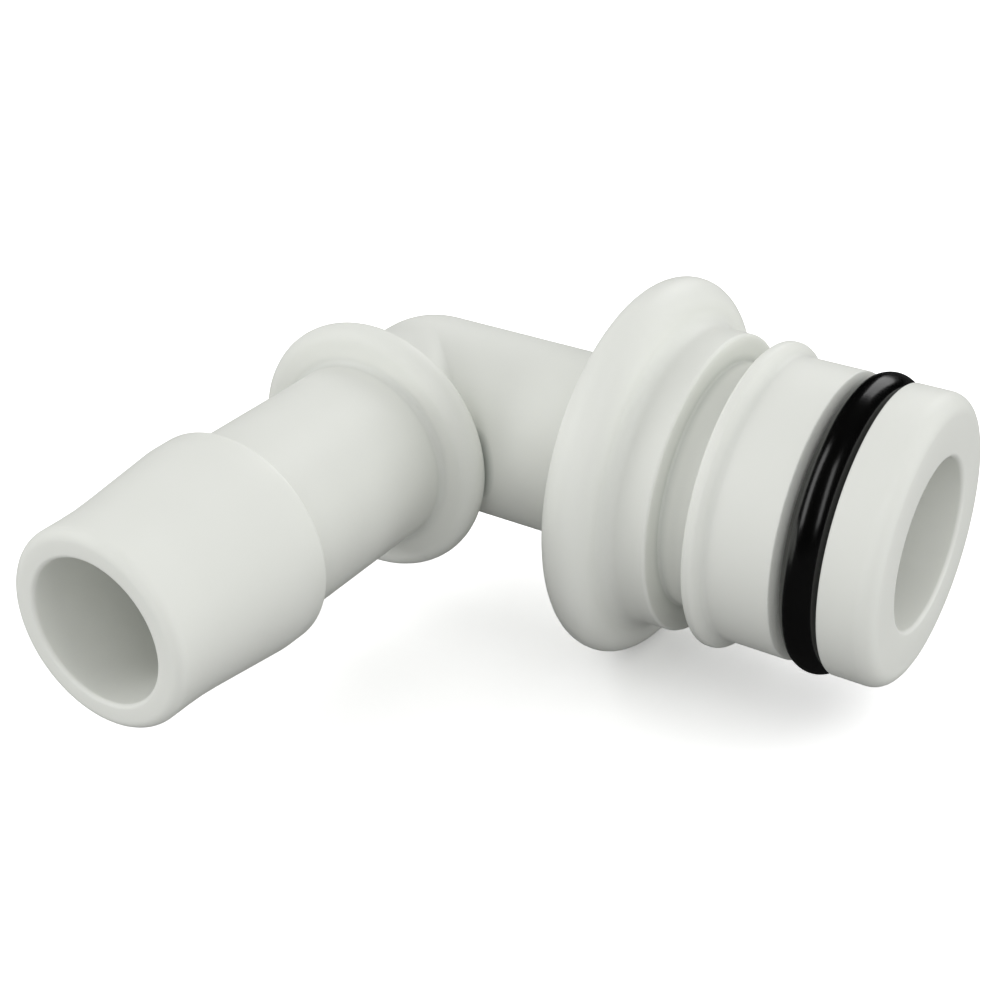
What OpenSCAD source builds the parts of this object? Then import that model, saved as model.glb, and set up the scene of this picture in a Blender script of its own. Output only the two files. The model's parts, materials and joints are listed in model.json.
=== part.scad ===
// Right-angle hose adapter: a push-in port plug with a seal ring on one leg,
// and a plain hose spigot on the other.
// Frame: origin at the middle of the clip groove, on the plug's axis.
// +X runs out of the plug's open end, the hose leg runs along -Y, and +Z is up.
// The axes of both legs lie in the plane z = 0, which is a plane of symmetry.

/* [Legs] */
// Distance from the corner, where the two axes cross, to the plug's open end
plug_leg = 49.5; // [48:0.5:80]
// Distance from the corner to the open end of the hose spigot
hose_leg = 46.2; // [44:0.5:80]
// Outer diameter of the tube that both legs share
tube_d = 17.1; // [16.6:0.1:17.4]
// Wall thickness of the tube
wall = 2.2; // [1.5:0.1:2.6]

/* [Port plug] */
// Diameter of the plug, which slides into a 1 in (25.4 mm) port
plug_d = 25.4; // [25.2:0.1:26]
// Length of the nose, in front of the gland
nose_l = 4.6; // [4:0.1:6]
// Diameter of the plug's bore at its open end
plug_bore_d = 14.9; // [13.5:0.1:15.2]
// Width of the gland that holds the seal ring
gland_w = 4.1; // [4:0.1:4.6]
// Thickness of the seal ring's round section
seal_section = 3.53; // [3.4:0.01:3.6]
// Height that the relaxed seal ring stands above the plug
seal_proud = 0.44; // [0.3:0.01:0.6]

/* [Flange and clip groove] */
// Length of the plug from the gland back to the clip groove
barrel_l = 7.4; // [6:0.1:9]
// Diameter of the lip that keeps the clip in its groove
lip_d = 27.4; // [26.4:0.1:28]
// Width of the lip at its crest
lip_w = 0.9; // [0.5:0.1:1.2]
// Width of the clip groove
groove_w = 3.4; // [3:0.1:3.6]
// Diameter at the bottom of the clip groove
groove_d = 22; // [21:0.1:23]
// Diameter of the boss between the flange and the clip groove
boss_d = 26.9; // [26:0.1:27.4]
// Length of the boss
boss_l = 4; // [3:0.1:5]
// Diameter of the flange
flange_d = 34.4; // [30:0.1:40]
// Thickness of the flange, whose rim is a full half round
flange_t = 4.6; // [4:0.1:5]

/* [Hose spigot] */
// Largest diameter of the spigot, which grips a 3/4 in (19 mm) hose
grip_d = 19.6; // [19:0.1:20.4]
// Diameter of the spigot near its open end
tail_d = 17.5; // [16.8:0.1:18]
// Distance from the corner to the back of the grip
grip_at = 29.5; // [26:0.1:30]
// Distance from the corner to the middle of the collar
collar_at = 10; // [10:0.1:14]
// Diameter of the collar that stops the hose
collar_d = 23.8; // [22:0.1:26]
// Thickness of the collar, whose rim is a full half round
collar_t = 3; // [2:0.1:4]

/* [Hidden] */
$fn = 128;

// Distances from the corner along the plug leg; groove_mid is the origin
gland_front = plug_leg - nose_l;
gland_back = gland_front - gland_w;
lip_back = gland_back - barrel_l;
groove_mid = lip_back - groove_w / 2;
groove_back = lip_back - groove_w;
flange_front = groove_back - boss_l;
flange_mid = flange_front - flange_t / 2;

// Seal ring, which rests on the gland's floor close to its front wall
seal_gap = 0.02;
seal_clear = 0.1;
seal_mean_r = plug_d / 2 + seal_proud - seal_section / 2;
seal_at = gland_front - seal_section / 2 - seal_gap;
gland_floor_r = seal_mean_r - seal_section / 2 - seal_gap;
// The gland's back wall slopes towards the ring and stops short of it
gland_slope = gland_w - seal_section - seal_gap - seal_clear;

// Edges and blends
nose_round = 1.6;
boss_round = 0.3;
boss_fillet = 1.4;
lip_flank = 0.8;
gland_edge = 0.15;
collar_fillet = 0.6;
tail_round = 1;
mouth_chamfer = 0.4;

// Spigot: a short cylindrical grip, a gentle taper and a straight tail
grip_land = 2.5;
grip_round = 0.3;
taper_l = 9.4;

// Waterway: one bore per leg, joined by a sphere at the corner
tube_bore_d = tube_d - 2 * wall;
cone_l = 2;
overlap = 1;

// Half section of a disc from low to high along the axis
module disc_section(radius, low, high) {
    translate([0, low]) square([radius, high - low]);
}

// Half section of a disc whose far edge is rounded
module rounded_section(radius, low, high, round) {
    disc_section(radius, low, high - round);
    disc_section(radius - round, low, high);
    translate([radius - round, high - round]) circle(round);
}

// Half section of a disc whose rim is a full half round
module half_round_section(radius, mid, thick) {
    disc_section(radius - thick / 2, mid - thick / 2, mid + thick / 2);
    translate([radius - thick / 2, mid]) circle(d = thick);
}

// Half section of the blend between a cylinder and the face at a station
module fillet_section(radius, face, size) {
    difference() {
        translate([radius - overlap, face - overlap]) square(size + overlap);
        translate([radius + size, face + size]) circle(size);
    }
}

module plug_section() {
    disc_section(tube_d / 2, 0, flange_mid);
    half_round_section(flange_d / 2, flange_mid, flange_t);
    rounded_section(boss_d / 2, flange_mid, groove_back, boss_round);
    fillet_section(boss_d / 2, flange_front, boss_fillet);
    disc_section(groove_d / 2, flange_mid, gland_back - overlap);
    lip_section();
    barrel_section();
    disc_section(gland_floor_r, lip_back + lip_w, gland_front + overlap);
    rounded_section(plug_d / 2, gland_front, plug_leg, nose_round);
}

// The barrel ends in the gland's back wall, which slopes down to the middle of the ring
module barrel_section() {
    polygon([
        [0, lip_back + lip_w],
        [plug_d / 2, lip_back + lip_w],
        [plug_d / 2, gland_back - gland_edge],
        [plug_d / 2 - gland_edge, gland_back],
        [seal_mean_r, gland_back + gland_slope],
        [0, gland_back + gland_slope]
    ]);
}

// The lip's crest is rounded, and its front flank slopes down to the plug
module lip_section() {
    crest_r = lip_d / 2 - lip_w / 2;
    translate([crest_r, lip_back + lip_w / 2]) circle(d = lip_w);
    polygon([
        [0, lip_back],
        [crest_r, lip_back],
        [crest_r, lip_back + lip_w],
        [plug_d / 2, lip_back + lip_w + lip_flank],
        [0, lip_back + lip_w + lip_flank]
    ]);
}

module hose_section() {
    disc_section(tube_d / 2, 0, grip_at + overlap);
    half_round_section(collar_d / 2, collar_at, collar_t);
    fillet_section(tube_d / 2, collar_at + collar_t / 2, collar_fillet);
    grip_section();
    rounded_section(tail_d / 2, grip_at + grip_land + taper_l - overlap, hose_leg, tail_round);
}

// The grip is steepest at its back, where it bites on the hose
module grip_section() {
    grip_r = grip_d / 2;
    translate([grip_r - grip_round, grip_at + grip_round]) circle(grip_round);
    polygon([
        [0, grip_at],
        [grip_r - grip_round, grip_at],
        [grip_r - grip_round, grip_at + grip_round],
        [grip_r, grip_at + grip_round],
        [grip_r, grip_at + grip_land],
        [tail_d / 2, grip_at + grip_land + taper_l],
        [0, grip_at + grip_land + taper_l]
    ]);
}

// Places a shape turned about the Z axis on the plug leg, corner at the origin
module on_plug_leg() {
    rotate([0, 90, 0]) children();
}

// Places a shape turned about the Z axis on the hose leg, corner at the origin
module on_hose_leg() {
    rotate([90, 0, 0]) children();
}

module waterway() {
    sphere(d = tube_bore_d);
    on_plug_leg() {
        cylinder(d = tube_bore_d, h = plug_leg);
        translate([0, 0, flange_mid - cone_l])
            cylinder(d1 = tube_bore_d, d2 = plug_bore_d, h = cone_l);
        translate([0, 0, flange_mid]) cylinder(d = plug_bore_d, h = plug_leg);
        mouth(plug_bore_d, plug_leg);
    }
    on_hose_leg() {
        cylinder(d = tube_bore_d, h = hose_leg + overlap);
        mouth(tube_bore_d, hose_leg);
    }
}

// Chamfer around the open end of a bore
module mouth(bore_d, at) {
    translate([0, 0, at - mouth_chamfer])
        cylinder(d1 = bore_d, d2 = bore_d + 2 * (mouth_chamfer + overlap), h = mouth_chamfer + overlap);
}

// The one-piece moulding: both legs, flange, boss, groove, gland and collar
module elbow_body() {
    color([0.87, 0.88, 0.85])
        translate([-groove_mid, 0, 0])
            difference() {
                union() {
                    sphere(d = tube_d);
                    on_plug_leg() rotate_extrude() plug_section();
                    on_hose_leg() rotate_extrude() hose_section();
                }
                waterway();
            }
}

// The rubber seal, drawn relaxed: neither stretched nor squeezed
module seal_ring() {
    color([0.05, 0.05, 0.05])
        on_plug_leg()
            rotate_extrude()
                translate([seal_mean_r, seal_at - groove_mid]) circle(d = seal_section);
}

elbow_body();
seal_ring();
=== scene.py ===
import json
import math

import bmesh
import bpy
import numpy as np
from mathutils import Matrix, Vector


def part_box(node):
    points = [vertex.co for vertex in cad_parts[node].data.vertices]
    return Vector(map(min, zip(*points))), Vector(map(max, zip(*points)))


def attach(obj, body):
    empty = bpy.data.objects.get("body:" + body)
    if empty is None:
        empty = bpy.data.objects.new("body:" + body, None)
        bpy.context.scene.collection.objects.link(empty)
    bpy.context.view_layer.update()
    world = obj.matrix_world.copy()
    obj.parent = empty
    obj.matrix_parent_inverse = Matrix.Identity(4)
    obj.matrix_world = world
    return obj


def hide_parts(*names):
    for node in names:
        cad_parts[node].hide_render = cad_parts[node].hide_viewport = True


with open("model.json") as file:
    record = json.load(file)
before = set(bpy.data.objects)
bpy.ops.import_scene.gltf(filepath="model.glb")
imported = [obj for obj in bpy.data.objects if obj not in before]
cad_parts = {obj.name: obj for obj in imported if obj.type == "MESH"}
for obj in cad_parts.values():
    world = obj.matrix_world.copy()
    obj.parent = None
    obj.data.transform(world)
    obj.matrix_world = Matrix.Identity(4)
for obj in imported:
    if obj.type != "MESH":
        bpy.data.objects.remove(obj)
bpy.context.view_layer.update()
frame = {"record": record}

MM = 0.001


# ---------------------------------------------------------------- dimensions
# The frame gives the part's extent, the mounts and the seal. The rest are the
# moulding's own dimensions. Everything is in metres, as radii and as distances
# from the corner where the axes of the two legs cross.

body_low, body_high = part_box("elbow_body")
seal_low, seal_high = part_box("seal_ring")
mounts = {m["name"]: m for m in frame["record"]["mounts"]}
port_plug = mounts["port_plug"]
hose_spigot = mounts["hose_spigot"]

corner_x = hose_spigot["pos_m"][0]
plug_leg = body_high.x - corner_x
hose_leg = -body_low.y

tube_r = 8.55 * MM
tube_bore_r = 6.35 * MM
bend_blend = 0.8 * MM
bore_blend = 0.5 * MM

# The seal ring, and the gland that holds it
seal_section = seal_high.x - seal_low.x
seal_mean_r = seal_high.z - seal_section / 2
seal_at = (seal_low.x + seal_high.x) / 2 - corner_x
seal_gap = 0.02 * MM
gland_w = 4.1 * MM
gland_slope = 0.45 * MM
gland_r = seal_mean_r - seal_section / 2 - seal_gap
gland_front = seal_at + seal_section / 2 + seal_gap
gland_back = gland_front - gland_w
gland_wall = gland_back + gland_slope

# The plug, its lip, the clip groove, the boss and the flange
plug_r = port_plug["dims"]["r_mm"] * MM
plug_bore_r = 7.45 * MM
barrel_l = 7.4 * MM
lip_r = 13.7 * MM
lip_w = 0.9 * MM
lip_flank = 0.8 * MM
groove_r = 11.0 * MM
groove_w = 3.4 * MM
boss_r = 13.45 * MM
boss_l = 4.0 * MM
flange_r = body_high.z
flange_t = 4.6 * MM
lip_back = gland_back - barrel_l
lip_front = lip_back + lip_w
groove_back = lip_back - groove_w
flange_front = groove_back - boss_l
flange_back = flange_front - flange_t

# The collar, the grip, the taper and the tail of the hose spigot
collar_r = corner_x - body_low.x
collar_back = 8.6 * MM
collar_front = 11.5 * MM
grip_r = hose_spigot["dims"]["r_mm"] * MM
grip_land = 2.5 * MM
grip_front = -hose_spigot["pos_m"][1] + hose_spigot["dims"]["length_mm"] * MM / 2
grip_back = grip_front - grip_land
taper_l = 9.4 * MM
taper_front = grip_front + taper_l
tail_r = 8.75 * MM

# Both legs' outlines start this far past the end of the blend inside the bend
bend_margin = 0.3 * MM
neck_start = tube_r + bend_blend + bend_margin
bore_start = tube_bore_r + bore_blend + bend_margin

# The skin of the bend stays just short of the collar
collar_clear = 0.04 * MM

# Points around a leg, and the largest turn between two points of an arc
AROUND = 192
ARC_STEP = math.radians(11)

# The distance under which two points are the same, the turn under which an
# outline is straight, and a length or a share that counts as nothing
SAME_POINT = 1e-6
STRAIGHT = 1e-4
NOTHING = 1e-9


# ---------------------------------------------------------------- mesh tools


def rounded(outline):
    """Outline points with an edge radius each, as (along, radius, edge), turned into a fine outline.

    Each corner becomes an arc that meets both of its sides.
    """
    fine = []
    for i, (a, r, edge) in enumerate(outline):
        here = Vector((a, r))
        if edge == 0 or i in (0, len(outline) - 1):
            fine.append(here)
            continue
        back = (Vector(outline[i - 1][:2]) - here).normalized()
        ahead = (Vector(outline[i + 1][:2]) - here).normalized()
        turn = math.pi - back.angle(ahead)
        if turn < STRAIGHT:
            fine.append(here)
            continue
        reach = edge * math.tan(turn / 2)
        centre = here + (back + ahead).normalized() * math.hypot(reach, edge)
        start = here + back * reach - centre
        end = here + ahead * reach - centre
        turn = math.copysign(turn, start.cross(end))
        steps = max(2, math.ceil(abs(turn) / ARC_STEP))
        for k in range(steps + 1):
            fine.append(centre + Matrix.Rotation(turn * k / steps, 2) @ start)
    kept = [fine[0]]
    for point in fine[1:]:
        if (point - kept[-1]).length > SAME_POINT:
            kept.append(point)
    return kept


def circle():
    """Unit points around a leg: the first turns towards the inside of the bend, the second is +Z."""
    turn = np.linspace(0, 2 * math.pi, AROUND, endpoint=False)
    return np.cos(turn), np.sin(turn)


def plug_ring(along, radius):
    """Points around the plug leg, at a distance from the corner."""
    inner, up = circle()
    return np.stack([np.full(AROUND, along), -radius * inner, radius * up], axis=1)


def hose_ring(along, radius):
    """Points around the hose leg, at a distance from the corner."""
    inner, up = circle()
    return np.stack([radius * inner, np.full(AROUND, -along), radius * up], axis=1)


def bend_rings(radius, blend, limit, steps=10):
    """Rings that turn a tube from the hose leg to the plug leg.

    The outside of the bend is a ball of the tube's radius. On the inside the two tubes meet
    at a line, blended by a small ball that rolls along it. Nothing passes the limit
    on the hose leg, where the collar starts.
    """
    inner, up = circle()
    inside = np.clip(inner, 0, None)
    ball_centre = np.stack([inside, -inside, up], axis=1) * (radius + blend)
    on_hose = np.stack([radius * inside, -(radius + blend) * inside, radius * up], axis=1)
    on_plug = np.stack([(radius + blend) * inside, -radius * inside, radius * up], axis=1)
    rings = []
    for k in range(steps + 1):
        part = k / steps
        mix = on_hose * (1 - part) + on_plug * part - ball_centre
        length = np.linalg.norm(mix, axis=1, keepdims=True)
        blended = ball_centre + mix / np.maximum(length, NOTHING) * blend
        meridian = part * math.pi / 2
        outside = np.stack(
            [radius * inner * math.cos(meridian), -radius * inner * math.sin(meridian), radius * up],
            axis=1,
        )
        ring = np.where((inner > NOTHING)[:, None], blended, outside)
        ring[:, 1] = np.maximum(ring[:, 1], -limit)
        rings.append(ring)
    return rings


def tidy_mesh(mesh):
    """Merges points that coincide and turns every face outwards."""
    work = bmesh.new()
    work.from_mesh(mesh)
    bmesh.ops.remove_doubles(work, verts=work.verts, dist=SAME_POINT)
    bmesh.ops.recalc_face_normals(work, faces=work.faces)
    work.to_mesh(mesh)
    work.free()


def piece_from_rings(name, rings):
    """One closed skin from rings of points around the corner, the last ring joined to the first."""
    points = np.concatenate(rings)
    count = len(rings)
    faces = []
    for i in range(count):
        j = (i + 1) % count
        for k in range(AROUND):
            m = (k + 1) % AROUND
            faces.append((i * AROUND + k, i * AROUND + m, j * AROUND + m, j * AROUND + k))
    mesh = bpy.data.meshes.new(name)
    mesh.from_pydata(points.tolist(), [], faces)
    mesh.validate()
    mesh.shade_smooth()
    mesh.transform(Matrix.Translation((corner_x, 0, 0)))
    tidy_mesh(mesh)
    piece = bpy.data.objects.new(name, mesh)
    bpy.context.scene.collection.objects.link(piece)
    return piece


# ---------------------------------------------------------------- the moulding


def plug_outline():
    """From the neck out along the skin, around the open end and back down the bore."""
    rim = flange_t / 2
    return [
        (neck_start, tube_r, 0),
        (flange_back, tube_r, 0.5 * MM),
        (flange_back, flange_r, rim),
        (flange_front, flange_r, rim),
        (flange_front, boss_r, 1.4 * MM),
        (groove_back, boss_r, 0.3 * MM),
        (groove_back, groove_r, 0.25 * MM),
        (lip_back, groove_r, 0.4 * MM),
        (lip_back, lip_r, 0.35 * MM),
        (lip_front, lip_r, 0.6 * MM),
        (lip_front + lip_flank, plug_r, 0.8 * MM),
        (gland_back, plug_r, 0.15 * MM),
        (gland_wall, seal_mean_r, 0.2 * MM),
        (gland_wall, gland_r, 0.3 * MM),
        (gland_front, gland_r, 0.3 * MM),
        (gland_front, plug_r, 0.2 * MM),
        (plug_leg, plug_r, 1.6 * MM),
        (plug_leg, plug_bore_r, 0.4 * MM),
        (flange_front, plug_bore_r, 1.5 * MM),
        (flange_back, tube_bore_r, 1.5 * MM),
        (bore_start, tube_bore_r, 0),
    ]


def hose_outline():
    """From the corner out along the bore, around the open end and back along the skin."""
    rim = (collar_front - collar_back) / 2
    return [
        (bore_start, tube_bore_r, 0),
        (hose_leg, tube_bore_r, 0.4 * MM),
        (hose_leg, tail_r, 1.0 * MM),
        (taper_front, tail_r, 30 * MM),
        (grip_front, grip_r, 8 * MM),
        (grip_back, grip_r, 0.5 * MM),
        (grip_back, tube_r, 0.6 * MM),
        (collar_front, tube_r, 0.6 * MM),
        (collar_front, collar_r, rim),
        (collar_back, collar_r, rim),
        (collar_back, tube_r, 0),
    ]


def make_moulding():
    """The elbow: out over the bend and the plug, back through the waterway and over the spigot."""
    skin = bend_rings(tube_r, bend_blend, collar_back - collar_clear)
    plug = [plug_ring(*point) for point in rounded(plug_outline())]
    waterway = bend_rings(tube_bore_r, bore_blend, hose_leg)
    hose = [hose_ring(*point) for point in rounded(hose_outline())]
    return piece_from_rings("elbow_moulding", skin + plug + waterway[::-1] + hose)


# ---------------------------------------------------------------- the seal


def make_seal():
    """A ring of round section around the plug."""
    steps = 64
    rings = []
    for k in range(steps):
        turn = 2 * math.pi * k / steps
        along = seal_at + seal_section / 2 * math.cos(turn)
        radius = seal_mean_r + seal_section / 2 * math.sin(turn)
        rings.append(plug_ring(along, radius))
    return piece_from_rings("seal_o_ring", rings)


# ---------------------------------------------------------------- materials


def new_material(name):
    material = bpy.data.materials.new(name)
    material.use_nodes = True
    tree = material.node_tree
    return material, tree, tree.nodes["Principled BSDF"]


def noise(tree, scale, detail, roughness=0.5):
    place = tree.nodes.new("ShaderNodeTexCoord")
    node = tree.nodes.new("ShaderNodeTexNoise")
    node.inputs["Scale"].default_value = scale
    node.inputs["Detail"].default_value = detail
    node.inputs["Roughness"].default_value = roughness
    tree.links.new(place.outputs["Object"], node.inputs["Vector"])
    return node.outputs["Fac"]


def remap(tree, value, low, high):
    node = tree.nodes.new("ShaderNodeMapRange")
    node.inputs["To Min"].default_value = low
    node.inputs["To Max"].default_value = high
    tree.links.new(value, node.inputs["Value"])
    return node.outputs["Result"]


def mix_colour(tree, value, first, second):
    """Mixes two colours, each given as red, green and blue or as the output of a node."""
    node = tree.nodes.new("ShaderNodeMix")
    node.data_type = "RGBA"
    tree.links.new(value, node.inputs["Factor"])
    for name, colour in (("A", first), ("B", second)):
        if isinstance(colour, tuple):
            node.inputs[name].default_value = (*colour, 1)
        else:
            tree.links.new(colour, node.inputs[name])
    return node.outputs["Result"]


def grey(level):
    return (level, level, level)


def bump(tree, shader, height, distance, strength=1.0):
    node = tree.nodes.new("ShaderNodeBump")
    node.inputs["Distance"].default_value = distance
    node.inputs["Strength"].default_value = strength
    tree.links.new(height, node.inputs["Height"])
    tree.links.new(node.outputs["Normal"], shader.inputs["Normal"])


def openness(tree, distance):
    """How open a surface is: near 0 in creases up to the distance across, and 1 elsewhere."""
    node = tree.nodes.new("ShaderNodeAmbientOcclusion")
    node.samples = 8
    node.only_local = True
    node.inputs["Distance"].default_value = distance
    return node.outputs["AO"]


def white_plastic():
    """Satin white moulding, slightly uneven in colour and finish, with painted shade that darkens its
    creases.
    """
    material, tree, shader = new_material("white_plastic")
    open_colour = mix_colour(tree, noise(tree, 60, 3), (0.74, 0.755, 0.71), (0.79, 0.80, 0.76))
    # Painted shade: the colour turns dark grey where the surface is enclosed, in creases up to 0.9 mm
    # across.
    colour = mix_colour(tree, openness(tree, 0.9 * MM), (0.4, 0.43, 0.4), open_colour)
    tree.links.new(colour, shader.inputs["Base Color"])
    tree.links.new(remap(tree, noise(tree, 900, 4), 0.36, 0.48), shader.inputs["Roughness"])
    shader.inputs["Subsurface Weight"].default_value = 0.25
    shader.inputs["Subsurface Radius"].default_value = (1.0, 1.0, 0.95)
    shader.inputs["Subsurface Scale"].default_value = 1.0 * MM
    bump(tree, shader, noise(tree, 1800, 4), 0.00002, 0.25)
    return material


def black_rubber():
    """Smooth, nearly black rubber with a clear shine."""
    material, tree, shader = new_material("black_rubber")
    colour = mix_colour(tree, noise(tree, 300, 3), grey(0.001), grey(0.003))
    tree.links.new(colour, shader.inputs["Base Color"])
    tree.links.new(remap(tree, noise(tree, 700, 4), 0.16, 0.24), shader.inputs["Roughness"])
    shader.inputs["Specular IOR Level"].default_value = 0.9
    bump(tree, shader, noise(tree, 2500, 3), 0.00002, 0.2)
    return material


# ---------------------------------------------------------------- the object


def stand_for(node, piece, material):
    """Shows a piece in the place of a CAD node."""
    piece.data.materials.append(material)
    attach(piece, "root")
    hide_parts(node)


stand_for("elbow_body", make_moulding(), white_plastic())
stand_for("seal_ring", make_seal(), black_rubber())


# ---------------------------------------------------------------- the stage

# The point that the camera and the lights aim at
look_at = Vector((-12.045, -19.14, 4.57)) * MM


def floor_paper():
    """White paper. It bounces less light than it shows, so that the object's underside stays shaded."""
    material, tree, shader = new_material("floor_paper")
    ray = tree.nodes.new("ShaderNodeLightPath")
    shown = mix_colour(tree, noise(tree, 8, 2), grey(1.5), grey(1.55))
    bounced = mix_colour(tree, ray.outputs["Is Glossy Ray"], grey(0.35), grey(0.03))
    colour = mix_colour(tree, ray.outputs["Is Camera Ray"], bounced, shown)
    diffuse = tree.nodes.new("ShaderNodeBsdfDiffuse")
    tree.links.new(colour, diffuse.inputs["Color"])
    tree.links.new(diffuse.outputs["BSDF"], tree.nodes["Material Output"].inputs["Surface"])
    tree.nodes.remove(shader)
    return material


def make_floor():
    size = 1.5
    mesh = bpy.data.meshes.new("floor")
    corners = [(-size, -size, 0), (size, -size, 0), (size, size, 0), (-size, size, 0)]
    mesh.from_pydata(corners, [], [(0, 1, 2, 3)])
    floor = bpy.data.objects.new("floor", mesh)
    floor.location.z = body_low.z
    bpy.context.scene.collection.objects.link(floor)
    floor.data.materials.append(floor_paper())


def direction(azimuth, elevation):
    """Unit vector to a compass direction in degrees: azimuth 0 is -Y, and 90 is +X."""
    a = math.radians(azimuth)
    e = math.radians(elevation)
    return Vector((math.sin(a) * math.cos(e), -math.cos(a) * math.cos(e), math.sin(e)))


def soft_light(name, low, high, width, power, mirrored):
    """A soft box between two directions, aimed at the object. Only a mirrored one shows in shine."""
    distance = 0.6
    low_end = direction(*low) * distance
    high_end = direction(*high) * distance
    away = (low_end + high_end).normalized()
    light = bpy.data.lights.new(name, "AREA")
    light.shape = "RECTANGLE"
    light.size = width
    light.size_y = (high_end - low_end).length
    light.energy = power
    lamp = bpy.data.objects.new(name, light)
    side = (high_end - low_end).cross(away).normalized()
    axes = Matrix((side, away.cross(side), away)).transposed()
    lamp.matrix_world = Matrix.Translation(look_at + away * distance) @ axes.to_4x4()
    lamp.visible_glossy = mirrored
    bpy.context.scene.collection.objects.link(lamp)


def make_world(strength):
    """An even white surround that shine doesn't mirror. The camera sees it as white as the floor."""
    world = bpy.data.worlds.new("studio")
    world.use_nodes = True
    tree = world.node_tree
    background = tree.nodes["Background"]
    background.inputs["Color"].default_value = (1, 1, 1, 1)
    ray = tree.nodes.new("ShaderNodeLightPath")
    seen = remap(tree, ray.outputs["Is Camera Ray"], strength, 1)
    tree.links.new(seen, background.inputs["Strength"])
    bpy.context.scene.world = world
    world.cycles_visibility.glossy = False


def make_camera(azimuth, elevation, roll, distance, lens):
    """A camera that looks at the object from a compass direction."""
    away = direction(azimuth, elevation)
    data = bpy.data.cameras.new("camera")
    data.sensor_width = 36
    data.lens = lens
    data.clip_start = 0.01
    camera = bpy.data.objects.new("camera", data)
    camera.rotation_mode = "QUATERNION"
    camera.location = look_at + away * distance
    turn = (-away).to_track_quat("-Z", "Y").to_matrix().to_4x4()
    camera.rotation_quaternion = (turn @ Matrix.Rotation(math.radians(roll), 4, "Z")).to_quaternion()
    bpy.context.scene.collection.objects.link(camera)
    bpy.context.scene.camera = camera


make_camera(azimuth=32.905, elevation=29.632, roll=-0.524, distance=0.14166, lens=62.816)
make_floor()
make_world(0.65)
soft_light("box_left", (-39, 11), (-91, 56), 0.2, 0.56, True)
soft_light("box_right", (44, 14), (62, 60), 0.16, 0.3, True)
soft_light("box_back", (180, 12), (180, 48), 0.3, 0.45, True)
soft_light("fill_left", (-45, 0), (-45, 15), 0.3, 0.75, False)
soft_light("fill_right", (18, 0), (18, 15), 0.3, 0.45, False)
soft_light("fill_plug", (90, 0), (90, 20), 0.3, 0.75, False)
soft_light("fill_back_right", (135, 0), (135, 35), 0.3, 0.85, False)
soft_light("fill_back_left", (-135, 0), (-135, 40), 0.3, 1.2, False)
bpy.context.scene.view_settings.view_transform = "Standard"
